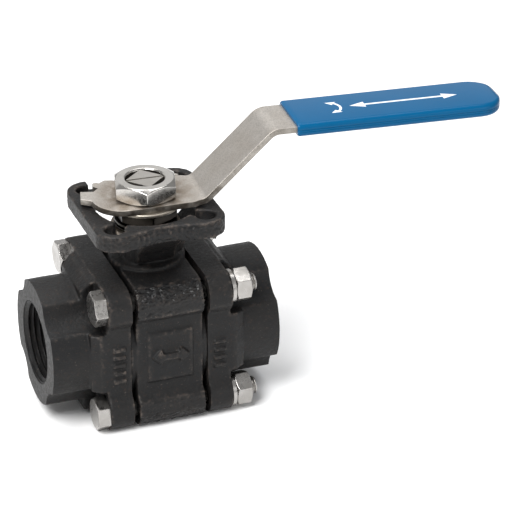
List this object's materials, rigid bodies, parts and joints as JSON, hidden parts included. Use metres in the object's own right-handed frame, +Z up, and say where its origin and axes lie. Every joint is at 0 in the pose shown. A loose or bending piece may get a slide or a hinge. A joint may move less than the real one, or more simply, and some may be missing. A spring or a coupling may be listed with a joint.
{
  "type": "ball valve",
  "caption": "Three-piece ball valve with threaded pipe ends, a square actuator pad and a cranked hand lever with a dipped sleeve; the lever turns the ball a quarter turn.",
  "frame": {"origin": "the ball's centre, where the flow axis and the stem axis cross", "axes": "+X runs along the flow axis from inlet to outlet and is where the open lever points; +Z runs up the stem; +Y completes the right-handed set; millimetres in the source, metres in the row"},
  "size_m": [0.1539, 0.049, 0.0921],
  "materials": {
    "casting": "black phosphated cast steel, rough as cast, with brown wear on the edges",
    "ball_steel": "polished stainless steel",
    "seat": "off-white fluoropolymer, machined",
    "stem_steel": "turned stainless steel",
    "o_ring": "black elastomer",
    "bright_steel": "bright stainless steel fasteners",
    "lever_steel": "satin stainless steel strip",
    "sleeve": "glossy blue dipped vinyl"
  },
  "bodies": {
    "housing": {"centre_body": "casting", "end_cap_inlet": "casting", "end_cap_outlet": "casting", "seat_inlet": "seat", "seat_outlet": "seat", "body_seal_inlet": "seat", "body_seal_outlet": "seat", "stem_thrust_washer": "seat", "packing_ring_lower": "seat", "packing_ring_middle": "seat", "packing_ring_upper": "seat", "packing_gland": "stem_steel", "stop_plate": "lever_steel", "disc_spring_lower": "bright_steel", "disc_spring_upper": "bright_steel", "bolt_front_top": "bright_steel", "spring_washer_front_top": "bright_steel", "nut_front_top": "bright_steel", "bolt_front_bottom": "bright_steel", "spring_washer_front_bottom": "bright_steel", "nut_front_bottom": "bright_steel", "bolt_back_top": "bright_steel", "spring_washer_back_top": "bright_steel", "nut_back_top": "bright_steel", "bolt_back_bottom": "bright_steel", "spring_washer_back_bottom": "bright_steel", "nut_back_bottom": "bright_steel"},
    "lever_and_stem": {"stem": "stem_steel", "stem_o_ring": "o_ring", "gland_nut": "bright_steel", "lever_washer": "bright_steel", "lever": "lever_steel", "lever_sleeve": "sleeve", "lever_nut": "bright_steel"},
    "ball_body": {"ball": "ball_steel"}
  },
  "joints": [
    {"name": "lever_turn", "type": "hinge", "parent": "housing", "child": "lever_and_stem", "pos_m": [0, 0, 0], "axis": [0, 0, 1], "range_deg": [-86.5, 3.5]},
    {"name": "ball_turn", "type": "hinge", "parent": "housing", "child": "ball_body", "pos_m": [0, 0, 0], "axis": [0, 0, 1], "range_deg": [-86.5, 3.5]}
  ],
  "couplings": [
    {"joint": "ball_turn", "follows": "lever_turn", "ratio": 1}
  ]
}
